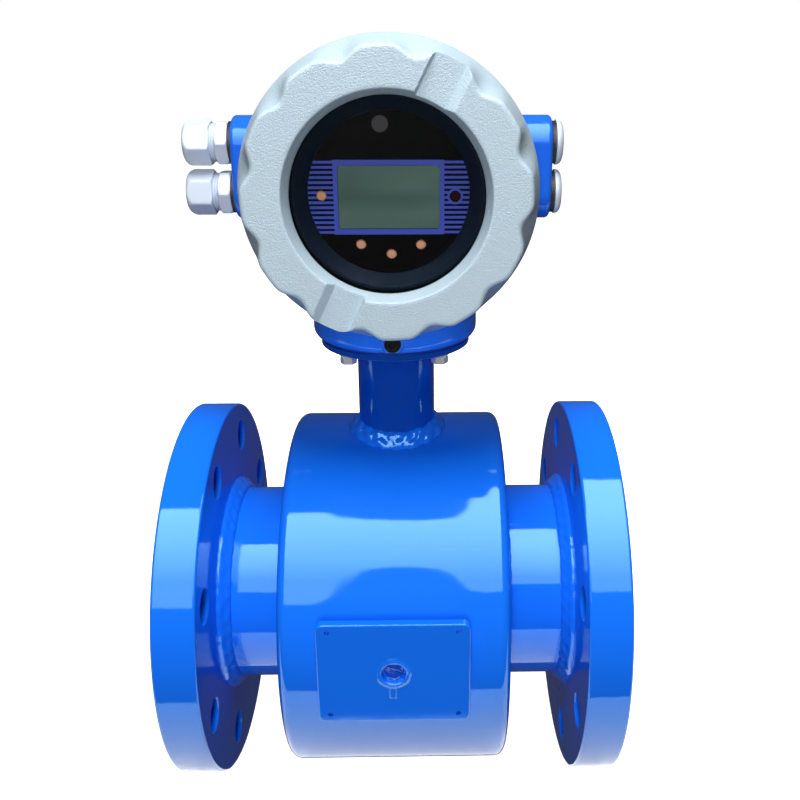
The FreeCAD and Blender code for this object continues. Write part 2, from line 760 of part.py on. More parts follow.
def cover_blank():
    """Solid knob with scoops and two spanner slots, drawn along +Z about the origin."""
    back = [cover_outline(COVER_BACK + d, inset) for d, inset in rounded_steps(COVER_BACK_ROUND)]
    front = [cover_outline(COVER_FACE - d, inset) for d, inset in rounded_steps(COVER_ROUND)]
    skirt_end = [cover_outline(COVER_SKIRT_END, 0)]
    knob = Part.makeLoft(back[::-1] + skirt_end + front, True, True)
    for angle in SLOT_ANGLES:
        knob = knob.cut(spanner_slot(angle))
    return knob


def threaded_end(depth_profile):
    """Inside of a cover: the thread, the seal groove and what lies in front of them."""
    profile = [(0, COVER_BACK - OVERCUT), (THREAD_R, COVER_BACK - OVERCUT), (THREAD_R, GROOVE_START)]
    profile += [(GROOVE_R, GROOVE_START), (GROOVE_R, GROOVE_START + GROOVE_W)]
    profile += [(THREAD_R, GROOVE_START + GROOVE_W), (THREAD_R, THREAD_END)]
    return turned(profile + depth_profile, CENTRE, UP)


def front_cover():
    opening = [(SEAT_R, THREAD_END), (SEAT_R, LIP_H), (LIP_BACK_R, LIP_H)]
    opening += [(LIP_BACK_R, LIP_H + LIP_LAND), (LIP_FRONT_R, COVER_FACE)]
    opening += [(LIP_FRONT_R, COVER_FACE + OVERCUT), (0, COVER_FACE + OVERCUT)]
    return placed(cover_blank().cut(threaded_end(opening)), HEAD, FRONT)


def rear_cover():
    end = COVER_FACE - REAR_WALL
    hollow = [(CHAMBER_R, THREAD_END), (CHAMBER_R, end), (0, end)]
    return placed(cover_blank().cut(threaded_end(hollow)), HEAD, REAR)


def cover_seal(direction):
    """O-ring in the groove of a cover."""
    section_r = (GROOVE_DEPTH - 2 * SEAL_CLEAR + THREAD_CLEAR) / 2
    middle_r = SPIGOT_R + SEAL_CLEAR + section_r
    at = HEAD + direction * (GROOVE_START + GROOVE_W / 2)
    return Part.makeTorus(middle_r, section_r, at, direction)


def window_gasket():
    return ring(SEAT_R - SEAT_CLEAR, LIP_BACK_R, GLASS_H, LIP_H, HEAD, FRONT)


def window_glass():
    return rod(SEAT_R - SEAT_CLEAR, RETAINER_H, GLASS_H, HEAD, FRONT)


def window_retainer():
    """Screwed ring with two notches for a pin spanner."""
    start = RETAINER_H - RETAINER_T
    body = ring(SEAT_R - SEAT_CLEAR, RETAINER_R, start, RETAINER_H, HEAD, FRONT)
    for side in (LEFT, RIGHT):
        notch = rod(NOTCH_R, start - OVERCUT, start + NOTCH_R, HEAD + side * RETAINER_R, FRONT)
        body = body.cut(notch)
    return body


# Display


def display_carrier():
    """Moulded black cup: a skirt on the main board, a ledge for the faceplate, a flared mouth."""
    skirt_r = CARRIER_R - CARRIER_WALL
    under = FACEPLATE_H - LEDGE_T
    seat_r = FACEPLATE_R + FACEPLATE_CLEAR
    profile = [(skirt_r, MAIN_BOARD_FACE), (CARRIER_R, MAIN_BOARD_FACE), (CARRIER_R, under)]
    profile += [(CUP_FRONT_R, CUP_FRONT_H), (CUP_FRONT_R - CUP_LIP, CUP_FRONT_H)]
    profile += [(seat_r, FACEPLATE_FACE), (seat_r, FACEPLATE_H), (LEDGE_R, FACEPLATE_H)]
    profile += [(LEDGE_R, under), (skirt_r, under)]
    return turned(profile, HEAD, FRONT)


def display_faceplate():
    """Black disc with the screen window and holes for keys, receiver and lamp."""
    end = FACEPLATE_FACE + OVERCUT
    disc = rod(FACEPLATE_R, FACEPLATE_H, FACEPLATE_FACE, HEAD, FRONT)
    disc = disc.cut(block(LCD_W, LCD_H, 0, end, DISPLAY, FRONT))
    for right, up in KEYS.values():
        disc = disc.cut(rod(KEY_HOLE_R, 0, end, face_point(right, up), FRONT))
    disc = disc.cut(rod(RECEIVER_R + FACEPLATE_CLEAR, 0, end, face_point(*RECEIVER_AT), FRONT))
    return disc.cut(rod(LAMP_R, 0, end, face_point(*LAMP_AT), FRONT))


def faceplate_print():
    """Blue frame round the screen with a ladder of bars out to the edge of the disc."""
    start = FACEPLATE_FACE
    end = FACEPLATE_FACE + PRINT_T
    disc = rod(FACEPLATE_R, start, end, HEAD, FRONT)
    shapes = [block(PRINT_W, PRINT_H, start, end, DISPLAY, FRONT)]
    for bar in range(BAR_COUNT):
        up = (bar - (BAR_COUNT - 1) / 2) * BAR_PITCH
        shapes.append(block(2 * FACEPLATE_R, BAR_T, start, end, face_point(0, up), FRONT))
    receiver = face_point(*RECEIVER_AT)
    shapes.append(rod(RING_R, start, end, receiver, FRONT))
    ink = fused(shapes).common(disc)
    ink = ink.cut(rounded_block(LCD_W, LCD_H, PRINT_CORNER, 0, end + OVERCUT, DISPLAY, FRONT))
    ink = ink.cut(rod(RECEIVER_R + FACEPLATE_CLEAR, 0, end + OVERCUT, receiver, FRONT))
    return ink.cut(rod(KEY_HOLE_R, 0, end + OVERCUT, face_point(*KEYS["key_left"]), FRONT))


def lcd_module():
    rim = block(LCD_RIM_W, LCD_RIM_H, DISPLAY_BOARD_FACE, FACEPLATE_H, DISPLAY, FRONT)
    width = LCD_W - 2 * LCD_FIT
    height = LCD_H - 2 * LCD_FIT
    glass = block(width, height, DISPLAY_BOARD_FACE, FACEPLATE_FACE - LCD_SINK, DISPLAY, FRONT)
    return fused([rim, glass])


def display_board():
    return rod(CARRIER_R - CARRIER_WALL, DISPLAY_BOARD_H, DISPLAY_BOARD_FACE, HEAD, FRONT)


def key(place):
    """Push key with a collar that keeps it behind the faceplate."""
    at = face_point(*place)
    back = DISPLAY_BOARD_FACE + SWITCH_T + KEY_GAP
    collar_front = FACEPLATE_H - KEY_GAP
    stem = rod(KEY_R, back, FACEPLATE_FACE - KEY_SINK, at, FRONT)
    collar = rod(KEY_COLLAR_R, collar_front - KEY_COLLAR_T, collar_front, at, FRONT)
    return fused([stem, collar])


def key_switches():
    end = DISPLAY_BOARD_FACE + SWITCH_T
    return Part.makeCompound([
        block(SWITCH_W, SWITCH_W, DISPLAY_BOARD_FACE, end, face_point(right, up), FRONT)
        for right, up in KEYS.values()
    ])


def infrared_receiver():
    return rod(RECEIVER_R, DISPLAY_BOARD_FACE, FACEPLATE_FACE - RECEIVER_SINK, face_point(*RECEIVER_AT), FRONT)


def lamp_window():
    return rod(LAMP_R, DISPLAY_BOARD_FACE, FACEPLATE_FACE - LAMP_SINK, face_point(*LAMP_AT), FRONT)


def circuit_boards():
    """Round boards on the cast posts: the main board with its potted supply, the terminal board."""
    main = rod(MAIN_BOARD_R, MAIN_BOARD_H, MAIN_BOARD_FACE, HEAD, FRONT)
    width, height, depth = POWER_BLOCK
    supply = block(width, height, MAIN_BOARD_H, MAIN_BOARD_FACE + depth, HEAD, FRONT)
    terminal = rod(TERMINAL_BOARD_R, TERMINAL_BOARD_Y, TERMINAL_BOARD_FACE, HEAD, REAR)
    return Part.makeCompound([fused([main, supply]), terminal])


def terminal_blocks():
    """Two rows of screw terminals, the lower one for the sensor's cables."""
    rows = []
    pole = TERMINAL_W / TERMINAL_POLES
    for row in range(2):
        middle = Vector(0, 0, TERMINAL_Z + TERMINAL_H / 2 + row * TERMINAL_STEP)
        face = TERMINAL_BOARD_FACE + TERMINAL_D
        body = block(TERMINAL_W, TERMINAL_H, TERMINAL_BOARD_FACE, face, middle, REAR)
        for n in range(TERMINAL_POLES):
            x = (n - (TERMINAL_POLES - 1) / 2) * pole
            well = rod(KEY_R, face - TERMINAL_D / 2, face + OVERCUT, middle + Vector(x, 0, 0), REAR)
            body = body.cut(well)
        rows.append(body)
    return Part.makeCompound(rows)


# Cable entries


def entry(name):
    """Axis point of one cable entry."""
    return Vector(0, BOSS_Y, ENTRIES[name])


def hexagon_blank(start, end, origin, direction, turn):
    """Gland hexagon with its corners turned off."""
    bar = hexagon(GLAND_FLATS, start, end, origin, direction, turn)
    return bar.common(rod(GLAND_CORNER_R, start, end, origin, direction))


def gland_washers():
    return Part.makeCompound([
        ring(GLAND_WASHER_R, ENTRY_R, BOSS_FACE, GLAND_HEX, entry(name), LEFT) for name in ENTRIES
    ])


def gland_body(name):
    """Moulded gland body: tapped stub, hexagon, collar and thread for the nut."""
    at = entry(name)
    stub = rod(ENTRY_R - GLAND_STUB_CLEAR, BOSS_FACE - GLAND_STUB, GLAND_HEX, at, LEFT)
    hexagonal = hexagon_blank(GLAND_HEX, GLAND_COLLAR, at, LEFT, GLAND_TURNS[name] + 30)
    collar = rod(GLAND_COLLAR_R, GLAND_HEX, GLAND_THREAD, at, LEFT)
    thread = rod(GLAND_THREAD_R, GLAND_HEX, GLAND_THREAD_END, at, LEFT)
    body = fused([stub, hexagonal, collar, thread])
    body = body.cut(rod(GLAND_BORE_R, 0, GLAND_THREAD_END + OVERCUT, at, LEFT))
    seat = rod(GLAND_SEAT_R, GLAND_THREAD_END - GLAND_SEAT_L, GLAND_THREAD_END + OVERCUT, at, LEFT)
    return body.cut(seat)


def gland_seal(name):
    """Rubber sleeve squeezed between body and nut."""
    outer = GLAND_SEAT_R - SEAL_CLEAR
    start = GLAND_THREAD_END - GLAND_SEAT_L + SEAL_CLEAR
    end = GLAND_THREAD_END + SEAL_CLEAR
    return ring(outer, outer - GLAND_SEAL_WALL, start, end, entry(name), LEFT)


def gland_nut(name):
    """Domed hexagon nut that squeezes the seal."""
    at = entry(name)
    end = GLAND_NUT + GLAND_NUT_L
    shoulder = GLAND_NUT + GLAND_NUT_HEX
    bar = hexagon(GLAND_FLATS, GLAND_NUT, end, at, LEFT, GLAND_TURNS[name])
    dome = domed(GLAND_CORNER_R, GLAND_NUT_FRONT_R, GLAND_NUT, shoulder, end, at, LEFT)
    nut = bar.common(dome)
    inner_end = GLAND_THREAD_END + 2 * SEAL_CLEAR
    nut = nut.cut(rod(GLAND_NUT_BORE_R, 0, inner_end, at, LEFT))
    return nut.cut(rod(GLAND_BORE_R, 0, end + OVERCUT, at, LEFT))


def domed(radius, front_radius, start, shoulder, end, origin, direction):
    """Turned blank whose front end is an arc from the full radius to a smaller one."""
    rise = end - shoulder
    drop = radius - front_radius
    slant = math.sqrt(0.5)
    low = Vector(radius, 0, shoulder)
    crown = Vector(front_radius + drop * slant, 0, shoulder + rise * slant)
    high = Vector(front_radius, 0, end)
    arc = Part.Arc(low, crown, high).toShape()
    tip = Vector(0, 0, end)
    foot = Vector(0, 0, start)
    corner = Vector(radius, 0, start)
    sides = [Part.makeLine(high, tip), Part.makeLine(tip, foot)]
    sides += [Part.makeLine(foot, corner), Part.makeLine(corner, low)]
    face = Part.Face(Part.Wire([arc] + sides))
    return placed(face.revolve(CENTRE, UP, 360), origin, direction)


def blanking_plug(name):
    """Domed screw plug with a driver slot."""
    at = entry(name)
    end = PLUG_HEAD + PLUG_T
    head = domed(PLUG_R, PLUG_R * 2 / 3, PLUG_HEAD, PLUG_HEAD + PLUG_EDGE, end, at, RIGHT)
    stub = rod(ENTRY_R - THREAD_CLEAR, BOSS_FACE - PLUG_STUB, PLUG_HEAD + PLUG_EDGE, at, RIGHT)
    plug = fused([head, stub])
    slot = Part.makeBox(PLUG_T, PLUG_SLOT_L, PLUG_SLOT_W)
    slot.translate(at + Vector(end - PLUG_SLOT_D, -PLUG_SLOT_L / 2, -PLUG_SLOT_W / 2))
    return plug.cut(slot)


def plug_gasket(name):
    start = BOSS_FACE + SEAL_CLEAR
    end = PLUG_HEAD - SEAL_CLEAR
    return ring(PLUG_GASKET_R, ENTRY_R, start, end, entry(name), RIGHT)


NODES = {
    "measuring_tube": measuring_tube(),
    "inlet_flange": flange(LEFT),
    "outlet_flange": flange(RIGHT),
    "flange_welds": flange_welds(),
    "rubber_liner": rubber_liner(),
    "liner_flares": liner_flares(),
    "housing_shell": housing_shell(),
    "housing_end_inlet": housing_end(LEFT),
    "housing_end_outlet": housing_end(RIGHT),
    "housing_welds": housing_welds(),
    "nameplate_carrier": nameplate_carrier(),
    "nameplate_plug_weld": nameplate_plug_weld(),
    "pole_pieces": pole_pieces(),
    "coils": coils(),
    "return_yoke": return_yoke(),
    "electrodes": electrodes(),
    "electrode_bushes": electrode_bushes(),
    "electrode_sleeves": electrode_sleeves(),
    "neck_tube": neck_tube(),
    "neck_welds": neck_welds(),
    "neck_flange": neck_flange(),
    "neck_gasket": neck_gasket(),
    "neck_bolts": neck_bolts(),
    "sensor_cables": sensor_cables(),
    "head_housing": head_housing(),
    "head_bosses": head_bosses(),
    "head_foot": head_foot(),
    "ground_screw": ground_screw(),
    "front_cover": front_cover(),
    "front_seal": cover_seal(FRONT),
    "rear_cover": rear_cover(),
    "rear_seal": cover_seal(REAR),
    "window_gasket": window_gasket(),
    "window_glass": window_glass(),
    "window_retainer": window_retainer(),
    "display_carrier": display_carrier(),
    "display_faceplate": display_faceplate(),
    "faceplate_print": faceplate_print(),
    "lcd_module": lcd_module(),
    "display_board": display_board(),
    "key_switches": key_switches(),
    "infrared_receiver": infrared_receiver(),
    "lamp_window": lamp_window(),
    "circuit_boards": circuit_boards(),
    "terminal_blocks": terminal_blocks(),
    "gland_washers": gland_washers(),
}
for node, place in KEYS.items():
    NODES[node] = key(place)
for level in ENTRIES:
    NODES[level + "_gland_body"] = gland_body(level)
    NODES[level + "_gland_seal"] = gland_seal(level)
    NODES[level + "_gland_nut"] = gland_nut(level)
    NODES[level + "_plug"] = blanking_plug(level)
    NODES[level + "_plug_gasket"] = plug_gasket(level)

os.makedirs("parts", exist_ok=True)
for node, shape in NODES.items():
    shape.exportStep("parts/" + node + ".step")
    print(node, len(shape.Solids), "solids", round(shape.Volume), "mm3", shape.isValid())
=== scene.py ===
from math import cos, pi, radians, sin, sqrt

import bmesh
import bpy
import numpy as np
from mathutils import Matrix, Vector


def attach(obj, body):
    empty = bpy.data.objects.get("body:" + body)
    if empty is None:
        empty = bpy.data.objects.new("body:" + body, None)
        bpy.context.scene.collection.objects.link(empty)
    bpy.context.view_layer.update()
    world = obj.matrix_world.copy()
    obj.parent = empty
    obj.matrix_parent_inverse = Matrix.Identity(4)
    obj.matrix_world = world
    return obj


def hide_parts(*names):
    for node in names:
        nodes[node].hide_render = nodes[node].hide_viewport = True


# An electromagnetic flow meter: a lined steel tube between two flanges, a drum welded round it for
# the coils, a neck, and a cast head with a display. The frame is that of the solids: +X along the
# flow, -Y to the display side, +Z up the neck. Profiles are in millimetres, meshes in metres.
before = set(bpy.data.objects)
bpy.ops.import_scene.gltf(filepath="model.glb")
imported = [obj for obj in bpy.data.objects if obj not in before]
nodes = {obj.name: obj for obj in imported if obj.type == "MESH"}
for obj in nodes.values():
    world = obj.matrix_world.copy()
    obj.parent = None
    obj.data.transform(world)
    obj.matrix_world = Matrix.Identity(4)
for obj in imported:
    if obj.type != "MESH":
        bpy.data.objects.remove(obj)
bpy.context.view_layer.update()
MM = 0.001


# Measuring tube, flanges, neck tube and neck flange: drawn tube and turned plate of mild steel,
# welded into one body and then sprayed all over with a single thick coat of blue alkyd enamel,
# which is why plates, tubes and welds share one colour.
def linear(code):
    """An sRGB hex colour as the linear numbers that shaders take."""
    parts = [int(code[i:i + 2], 16) / 255 for i in (1, 3, 5)]
    return [c / 12.92 if c <= 0.04045 else ((c + 0.055) / 1.055) ** 2.4 for c in parts] + [1]


def add(tree, kind, settings, links={}):
    """Adds a node, sets its properties and sockets by name or number, and links sources to it."""
    node = tree.nodes.new(kind)
    for key, value in settings.items():
        if isinstance(key, str) and hasattr(node, key):
            setattr(node, key, value)
        else:
            node.inputs[key].default_value = value
    for key, source in links.items():
        tree.links.new(source, node.inputs[key])
    return node


def finish(name, colour, settings, rolls=()):
    """A material; rolls lists (size, height, detail) of the lumps on its surface, in metres."""
    material = bpy.data.materials.new(name)
    material.use_nodes = True
    tree = material.node_tree
    tree.nodes.clear()
    shader = add(tree, "ShaderNodeBsdfPrincipled", {"Base Color": linear(colour), **settings})
    add(tree, "ShaderNodeOutputMaterial", {}, {"Surface": shader.outputs[0]})
    place = add(tree, "ShaderNodeTexCoord", {}).outputs["Object"]
    normal = None
    for size, height, detail in rolls:
        lumps = add(tree, "ShaderNodeTexNoise", {"Scale": 1 / size, "Detail": detail}, {"Vector": place})
        links = {"Height": lumps.outputs[0]}
        if normal:
            links["Normal"] = normal
        normal = add(tree, "ShaderNodeBump", {"Distance": height}, links).outputs[0]
    if normal:
        tree.links.new(normal, shader.inputs["Normal"])
    return material


def dress(material, slot, *names):
    """Gives the solids of these names their finish."""
    for name in names:
        nodes[name].data.materials.clear()
        nodes[name].data.materials.append(material)


# Sprayed gloss enamel: it went on wet and levelled by itself, so it is deep and bright, while sags
# 14 mm wide, orange peel of 3 mm and a grain of 1 mm make the edges of its reflections waver.
ORANGE_PEEL = [(14 * MM, 0.05 * MM, 1), (3.0 * MM, 0.006 * MM, 1), (1.0 * MM, 0.0045 * MM, 1)]
enamel = finish("sprayed_gloss_enamel", "#126AE8", {
    "Roughness": 0.07, "IOR": 1.62, "Specular Tint": (0.42, 0.85, 1.0, 1.0),
}, ORANGE_PEEL)
dress(enamel, "blue_enamel", "inlet_flange", "outlet_flange", "measuring_tube", "neck_tube", "neck_flange")


# Coil housing: a rolled steel drum with two dished ends, welded round the tube to keep the coils
# dry. It is enamelled together with the tube, so all its edges are softened by paint.
def skin(name, rows, material, slot, body, *replaced, closed=False, crease=40):
    """A piece over a grid of points whose columns run right round; closed joins its last row to
    its first. It rides on a body and stands for the solids named."""
    rows = np.asarray(rows)
    count, steps, _ = rows.shape
    here = np.arange(count * steps).reshape(count, steps)
    if closed:
        here = np.vstack([here, here[:1]])
    beside = np.roll(here, -1, axis=1)
    faces = np.stack([here[:-1], beside[:-1], beside[1:], here[1:]], axis=-1).reshape(-1, 4)
    mesh = bpy.data.meshes.new(name)
    mesh.from_pydata(rows.reshape(-1, 3).tolist(), [], faces.tolist())
    work = bmesh.new()
    work.from_mesh(mesh)
    bmesh.ops.recalc_face_normals(work, faces=work.faces)
    work.to_mesh(mesh)
    work.free()
    mesh.shade_smooth()
    mesh.set_sharp_from_angle(angle=radians(crease))
    mesh.materials.append(material)
    piece = bpy.data.objects.new(name, mesh)
    bpy.context.scene.collection.objects.link(piece)
    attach(piece, body)
    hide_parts(*replaced)


def around(profile, steps, centre, along, up=(0, 0, 1)):
    """Rows of points round an axis through centre, in mm: profile lists (distance along, radius),
    each a number or one value per step, clockwise from up as seen against along."""
    centre, along, up = np.array(centre, float), np.array(along, float), np.array(up, float)
    angle = np.arange(steps) * 2 * pi / steps
    out = np.outer(np.cos(angle), up) + np.outer(np.sin(angle), np.cross(up, along))
    rows = []
    for distance, radius in profile:
        reach = np.broadcast_to(radius, steps)[:, None]
        rows.append(centre + np.broadcast_to(distance, steps)[:, None] * along + out * reach)
    return np.array(rows) * MM


def arc(centre_at, centre_r, radius, start, end, count):
    """Points of a rounded edge, angles in degrees from straight out towards along."""
    turns = np.radians(np.linspace(start, end, count))
    return [(centre_at + radius * sin(t), centre_r + radius * cos(t)) for t in turns]


TUBE_R, DRUM_R, DRUM_HALF, DRUM_ROUND = 57.15, 103.5, 61.0, 5.5
ROUND_AT, ROUND_R = DRUM_HALF - DRUM_ROUND, DRUM_R - DRUM_ROUND
profile = [(-DRUM_HALF, r) for r in (TUBE_R, 70, 85)] + arc(-ROUND_AT, ROUND_R, DRUM_ROUND, -90, 0, 10)
profile += [(x, DRUM_R) for x in (-30, 0, 30)]
profile += arc(ROUND_AT, ROUND_R, DRUM_ROUND, 0, 90, 10) + [(DRUM_HALF, r) for r in (85, 70, TUBE_R)]
skin("coil_housing", around(profile, 360, (0, 0, 0), (1, 0, 0)), enamel, "blue_enamel", "root",
     "housing_shell", "housing_end_inlet", "housing_end_outlet")


# Welds: fillet beads of steel laid by hand, a row of puddles that froze a few millimetres apart,
# enamelled with the rest. They join the tube to flanges and drum, the neck's foot to the drum and
# its top to the neck flange.
def bead_wave(angle, across, seed, puddles):
    """Unevenness of a bead from -1 to 1, by the angle round it and by how far across it."""
    dice = np.random.default_rng(seed)
    wave = np.zeros(np.broadcast(angle, across).shape)
    for pick in range(9):
        turns = dice.integers(puddles // 3, puddles)
        slant = dice.uniform(-7, 7)
        wave += np.sin(turns * angle + slant * across + dice.uniform(0, 2 * pi)) / 3
    return np.clip(wave, -1, 1)


def bead(name, corner, wall, plate, leg, lump, puddles, seed, *replaced):
    """A weld bead in the corner between a wall and a plate; corner, wall and plate are one point
    and two directions per step, in mm. Its legs sink a little into both."""
    steps = len(corner)
    angle = np.arange(steps) * 2 * pi / steps
    rows = []
    for turn in np.radians(np.linspace(-8, 98, 13)):
        reach = leg * (0.91 + 0.09 * cos(4 * turn)) + lump * bead_wave(angle, turn, seed, puddles)
        rows.append(corner + (wall * sin(turn) + plate * cos(turn)) * reach[:, None])
    rows.append(corner - (wall + plate) * 0.3)
    skin(name, np.array(rows) * MM, enamel, "blue_enamel", "root", *replaced, closed=True, crease=60)


BEAD_STEPS = 720
BEAD_TURN = np.arange(BEAD_STEPS) * 2 * pi / BEAD_STEPS
LEVEL = np.zeros(BEAD_STEPS)


def round_tube(name, at, side, leg, lump, puddles, seed, *replaced):
    """A bead round the measuring tube where it passes through a plate at one distance."""
    out = np.stack([LEVEL, np.sin(BEAD_TURN), np.cos(BEAD_TURN)], axis=1)
    corner = out * TUBE_R + np.array([at, 0, 0])
    wall = np.tile([float(side), 0, 0], (BEAD_STEPS, 1))
    bead(name, corner, wall, out, leg, lump, puddles, seed, *replaced)


FLANGE_BACK, FLANGE_LEG, DRUM_LEG = 100.0, 6.8, 4.4
round_tube("inlet_flange_weld", -FLANGE_BACK, 1, FLANGE_LEG, 0.16, 60, 1)
round_tube("outlet_flange_weld", FLANGE_BACK, -1, FLANGE_LEG, 0.16, 60, 2, "flange_welds")
round_tube("inlet_housing_weld", -DRUM_HALF, -1, DRUM_LEG, 0.15, 70, 3)
round_tube("outlet_housing_weld", DRUM_HALF, 1, DRUM_LEG, 0.15, 70, 4, "housing_welds")

# The neck's foot follows the drum's curve: out of the neck's wall and along the drum's surface.
NECK_R, NECK_TOP, FOOT_LEG, TOP_LEG = 22.0, 156.0, 6.3, 3.0
out = np.stack([np.sin(BEAD_TURN), np.cos(BEAD_TURN), LEVEL], axis=1)
foot = out * NECK_R
saddle = np.sqrt(DRUM_R**2 - foot[:, 1]**2)
corner = foot + np.outer(saddle, [0, 0, 1])
normal = np.stack([LEVEL, foot[:, 1], saddle], axis=1) / DRUM_R
along_drum = out - normal * np.sum(out * normal, axis=1)[:, None]
along_drum /= np.linalg.norm(along_drum, axis=1)[:, None]
up = np.tile([0.0, 0, 1], (BEAD_STEPS, 1))
bead("neck_foot_weld", corner, up, along_drum, FOOT_LEG, 0.42, 22, 5)
bead("neck_top_weld", foot + np.array([0, 0, NECK_TOP]), -up, out, TOP_LEG, 0.2, 50, 6, "neck_welds")


# Lining: one tube of hard rubber, moulded and cured inside the steel tube and turned out over both
# flange faces, where it serves as the gasket of the pipe joint.

# Moulded hard rubber: near black and dull. The skin it has from the mould is finer than shows, so
# it is drawn 1 mm wide.
DULL_GRAIN = [(1 * MM, 0.01 * MM, 2)]
rubber = finish("moulded_hard_rubber", "#1B1C1E", {"Roughness": 0.55}, DULL_GRAIN)
dress(rubber, "lining_rubber", "rubber_liner", "liner_flares")


# Seals: moulded rubber rings and flat gaskets, clamped under the covers, the window, the glands,
# the plugs and the head's foot. Only their edges show.
dress(rubber, "seal_rubber", "window_gasket", "front_seal", "rear_seal", "gland_washers",
      "upper_plug_gasket", "lower_plug_gasket", "upper_gland_seal", "lower_gland_seal")
# Rubber sprayed over with the rest: the enamel sank in and dried dark blue and half dull.
sprayed = finish("gasket_sprayed_over", "#0B2C78", {"Roughness": 0.4}, DULL_GRAIN)
dress(sprayed, "seal_rubber", "neck_gasket")


# Magnet inside the drum: two coils of copper wire on pole pieces of soft iron, closed by a rolled
# iron band, and the two cables that go up the neck from the coils and the electrodes.

# Rolled soft iron: grey metal, half dull from the rolls.
iron = finish("rolled_iron", "#7A7B7D", {"Metallic": 1.0, "Roughness": 0.45}, DULL_GRAIN)
dress(iron, "soft_iron", "pole_pieces", "return_yoke")
# Varnished copper wire: warm metal with a soft shine.
copper = finish("enamelled_copper", "#B5642E", {"Metallic": 1.0, "Roughness": 0.35}, DULL_GRAIN)
dress(copper, "copper_wire", "coils")
# Extruded jacket: plain mid grey and half matt. Its grain stands for all fine grain on plastic and
# turned parts below, which would be too fine to show at its real tenth of a millimetre.
FINE_GRAIN = [(1 * MM, 0.004 * MM, 2)]
jacket = finish("extruded_jacket", "#5F6266", {"Roughness": 0.5}, FINE_GRAIN)
dress(jacket, "cable_grey", "sensor_cables")


# Electrodes: two stainless pins with round heads that touch the liquid, each through an insulating
# bush and drawn tight by a nut inside a stainless sleeve, which is welded on the tube.

# Turned stainless steel: pale metal with fine tool marks.
stainless = finish("turned_stainless", "#C9C8C4", {"Metallic": 1.0, "Roughness": 0.3}, FINE_GRAIN)
dress(stainless, "stainless_steel", "electrodes", "electrode_sleeves")
# Turned fluoroplastic: waxy white, with hardly any shine.
ptfe = finish("turned_ptfe", "#E8E8E4", {"Roughness": 0.5}, FINE_GRAIN)
dress(ptfe, "insulator_white", "electrode_bushes")


# Name plate carrier: a steel plate with rounded edges, held on the drum by one plug weld through
# its middle. The enamel over both gathered in a rim round the weld and ran down a little.
dress(enamel, "blue_enamel", "nameplate_carrier")
PLATE_FRONT, PLATE_Z, PLUG_R, PIT_R, PATCH_R = 107.9, 9.5, 5.5, 5.2, 14.6


def hill(x, z, at_x, at_z, wide, high):
    """A smooth mound or dip, in mm."""
    return high * np.exp(-((x - at_x) ** 2 + (z - at_z) ** 2) / wide**2)


def within(off, half, sharp):
    """One inside a band of a half width, nothing outside it, and smooth between."""
    return 1 / (1 + np.exp((np.abs(off) - half) * sharp))


def painted_plug(x, z):
    """Height of the painted weld over the plate's face, in mm."""
    far = np.hypot(x / 1.08, z)
    turn = np.arctan2(z, x)
    edge = PLUG_R + 0.15 * np.sin(2 * turn + 1) + 0.1 * np.sin(7 * turn)
    inside = within(far, edge, 7)
    swell = 1 - 0.5 * np.sin(turn - 0.7) + 0.15 * np.sin(9 * turn)
    rim = 0.5 * np.exp(-((far - edge - 1.6) / 1.0) ** 2) * swell
    bed = -3.3 + hill(x, z, 0.6, 1.6, 2.6, 1.5) + hill(x, z, 4.4, 0.2, 1.9, 1.6)
    bed += hill(x, z, 0.2, -3.6, 1.5, 0.7)
    bed += hill(x, z, -3.8, 2.4, 1.2, 0.5) + hill(x, z, 1.8, -1.6, 1.6, -0.5)
    run = 0.4 * within(x + 0.5, 1.6, 6) * within(z + 11.5, 5.0, 0.8)
    line = 0.12 * np.exp(-((z - 9.0) / 0.35) ** 2) * within(x + 0.5, 3, 2)
    return (1 - inside) * (rim + run + line) + inside * bed


turn = np.arange(240) * 2 * pi / 240
reaches = np.concatenate([np.linspace(0.05, 9, 70), np.linspace(9.2, PATCH_R, 40), [PATCH_R + 0.3]])
rows = []
for far in reaches:
    x, z = far * np.sin(turn), far * np.cos(turn)
    lift = 0.004 - 0.01 * max(0, far - PATCH_R + 0.6)
    rows.append(np.stack([x, -PLATE_FRONT - painted_plug(x, z) - lift, PLATE_Z + z], axis=1))
rows = np.array(rows) * MM
pit = int(np.searchsorted(reaches, PIT_R))
# Enamel in the pit of the weld: drawn darker as painted shade for the depth of the hole, and the lumps of the
# weld show through.
pit_shade = finish("enamel_painted_pit_shade", "#0A46B4", {"Roughness": 0.12, "IOR": 1.55}, [(1.5 * MM, 0.1 * MM, 2)])
skin("plug_weld_pit", rows[:pit + 1], pit_shade, "blue_enamel", "root", crease=80)
skin("painted_plug_weld", rows[pit:], enamel, "blue_enamel", "root", "nameplate_plug_weld", crease=80)


# Fasteners: four hexagon bolts with spring and flat washers hold the head on the neck's flange
# from below, and a socket screw in the head's foot takes the earth wire. Steel, zinc plated.

# Bright zinc plate: white metal with a soft shine.
zinc = finish("bright_zinc_plate", "#E8E9EA", {"Metallic": 0.6, "Roughness": 0.25}, FINE_GRAIN)
dress(zinc, "zinc_steel", "neck_bolts")
# Zinc plate, its colour set dark grey as painted shade of the screw's recess, with little shine.
dull = finish("zinc_with_painted_recess_shade", "#303234", {"Metallic": 0.8, "Roughness": 0.4}, DULL_GRAIN)
dress(dull, "zinc_steel", "ground_screw")


# Head: one aluminium casting with two chambers, a boss for two cables on each side and a round
# foot, machined on its spigots and faces and bolted to the neck through a gasket.

# Powder coat over a cast skin: a deeper blue than the enamel and less wet, with soft dimples.
coat = finish("cast_powder_coat", "#1D60D6", {
    "Roughness": 0.15, "IOR": 1.58, "Specular Tint": (0.45, 0.85, 1.0, 1.0),
}, [(1.2 * MM, 0.02 * MM, 2)])
dress(coat, "head_blue", "head_housing", "head_bosses", "head_foot")


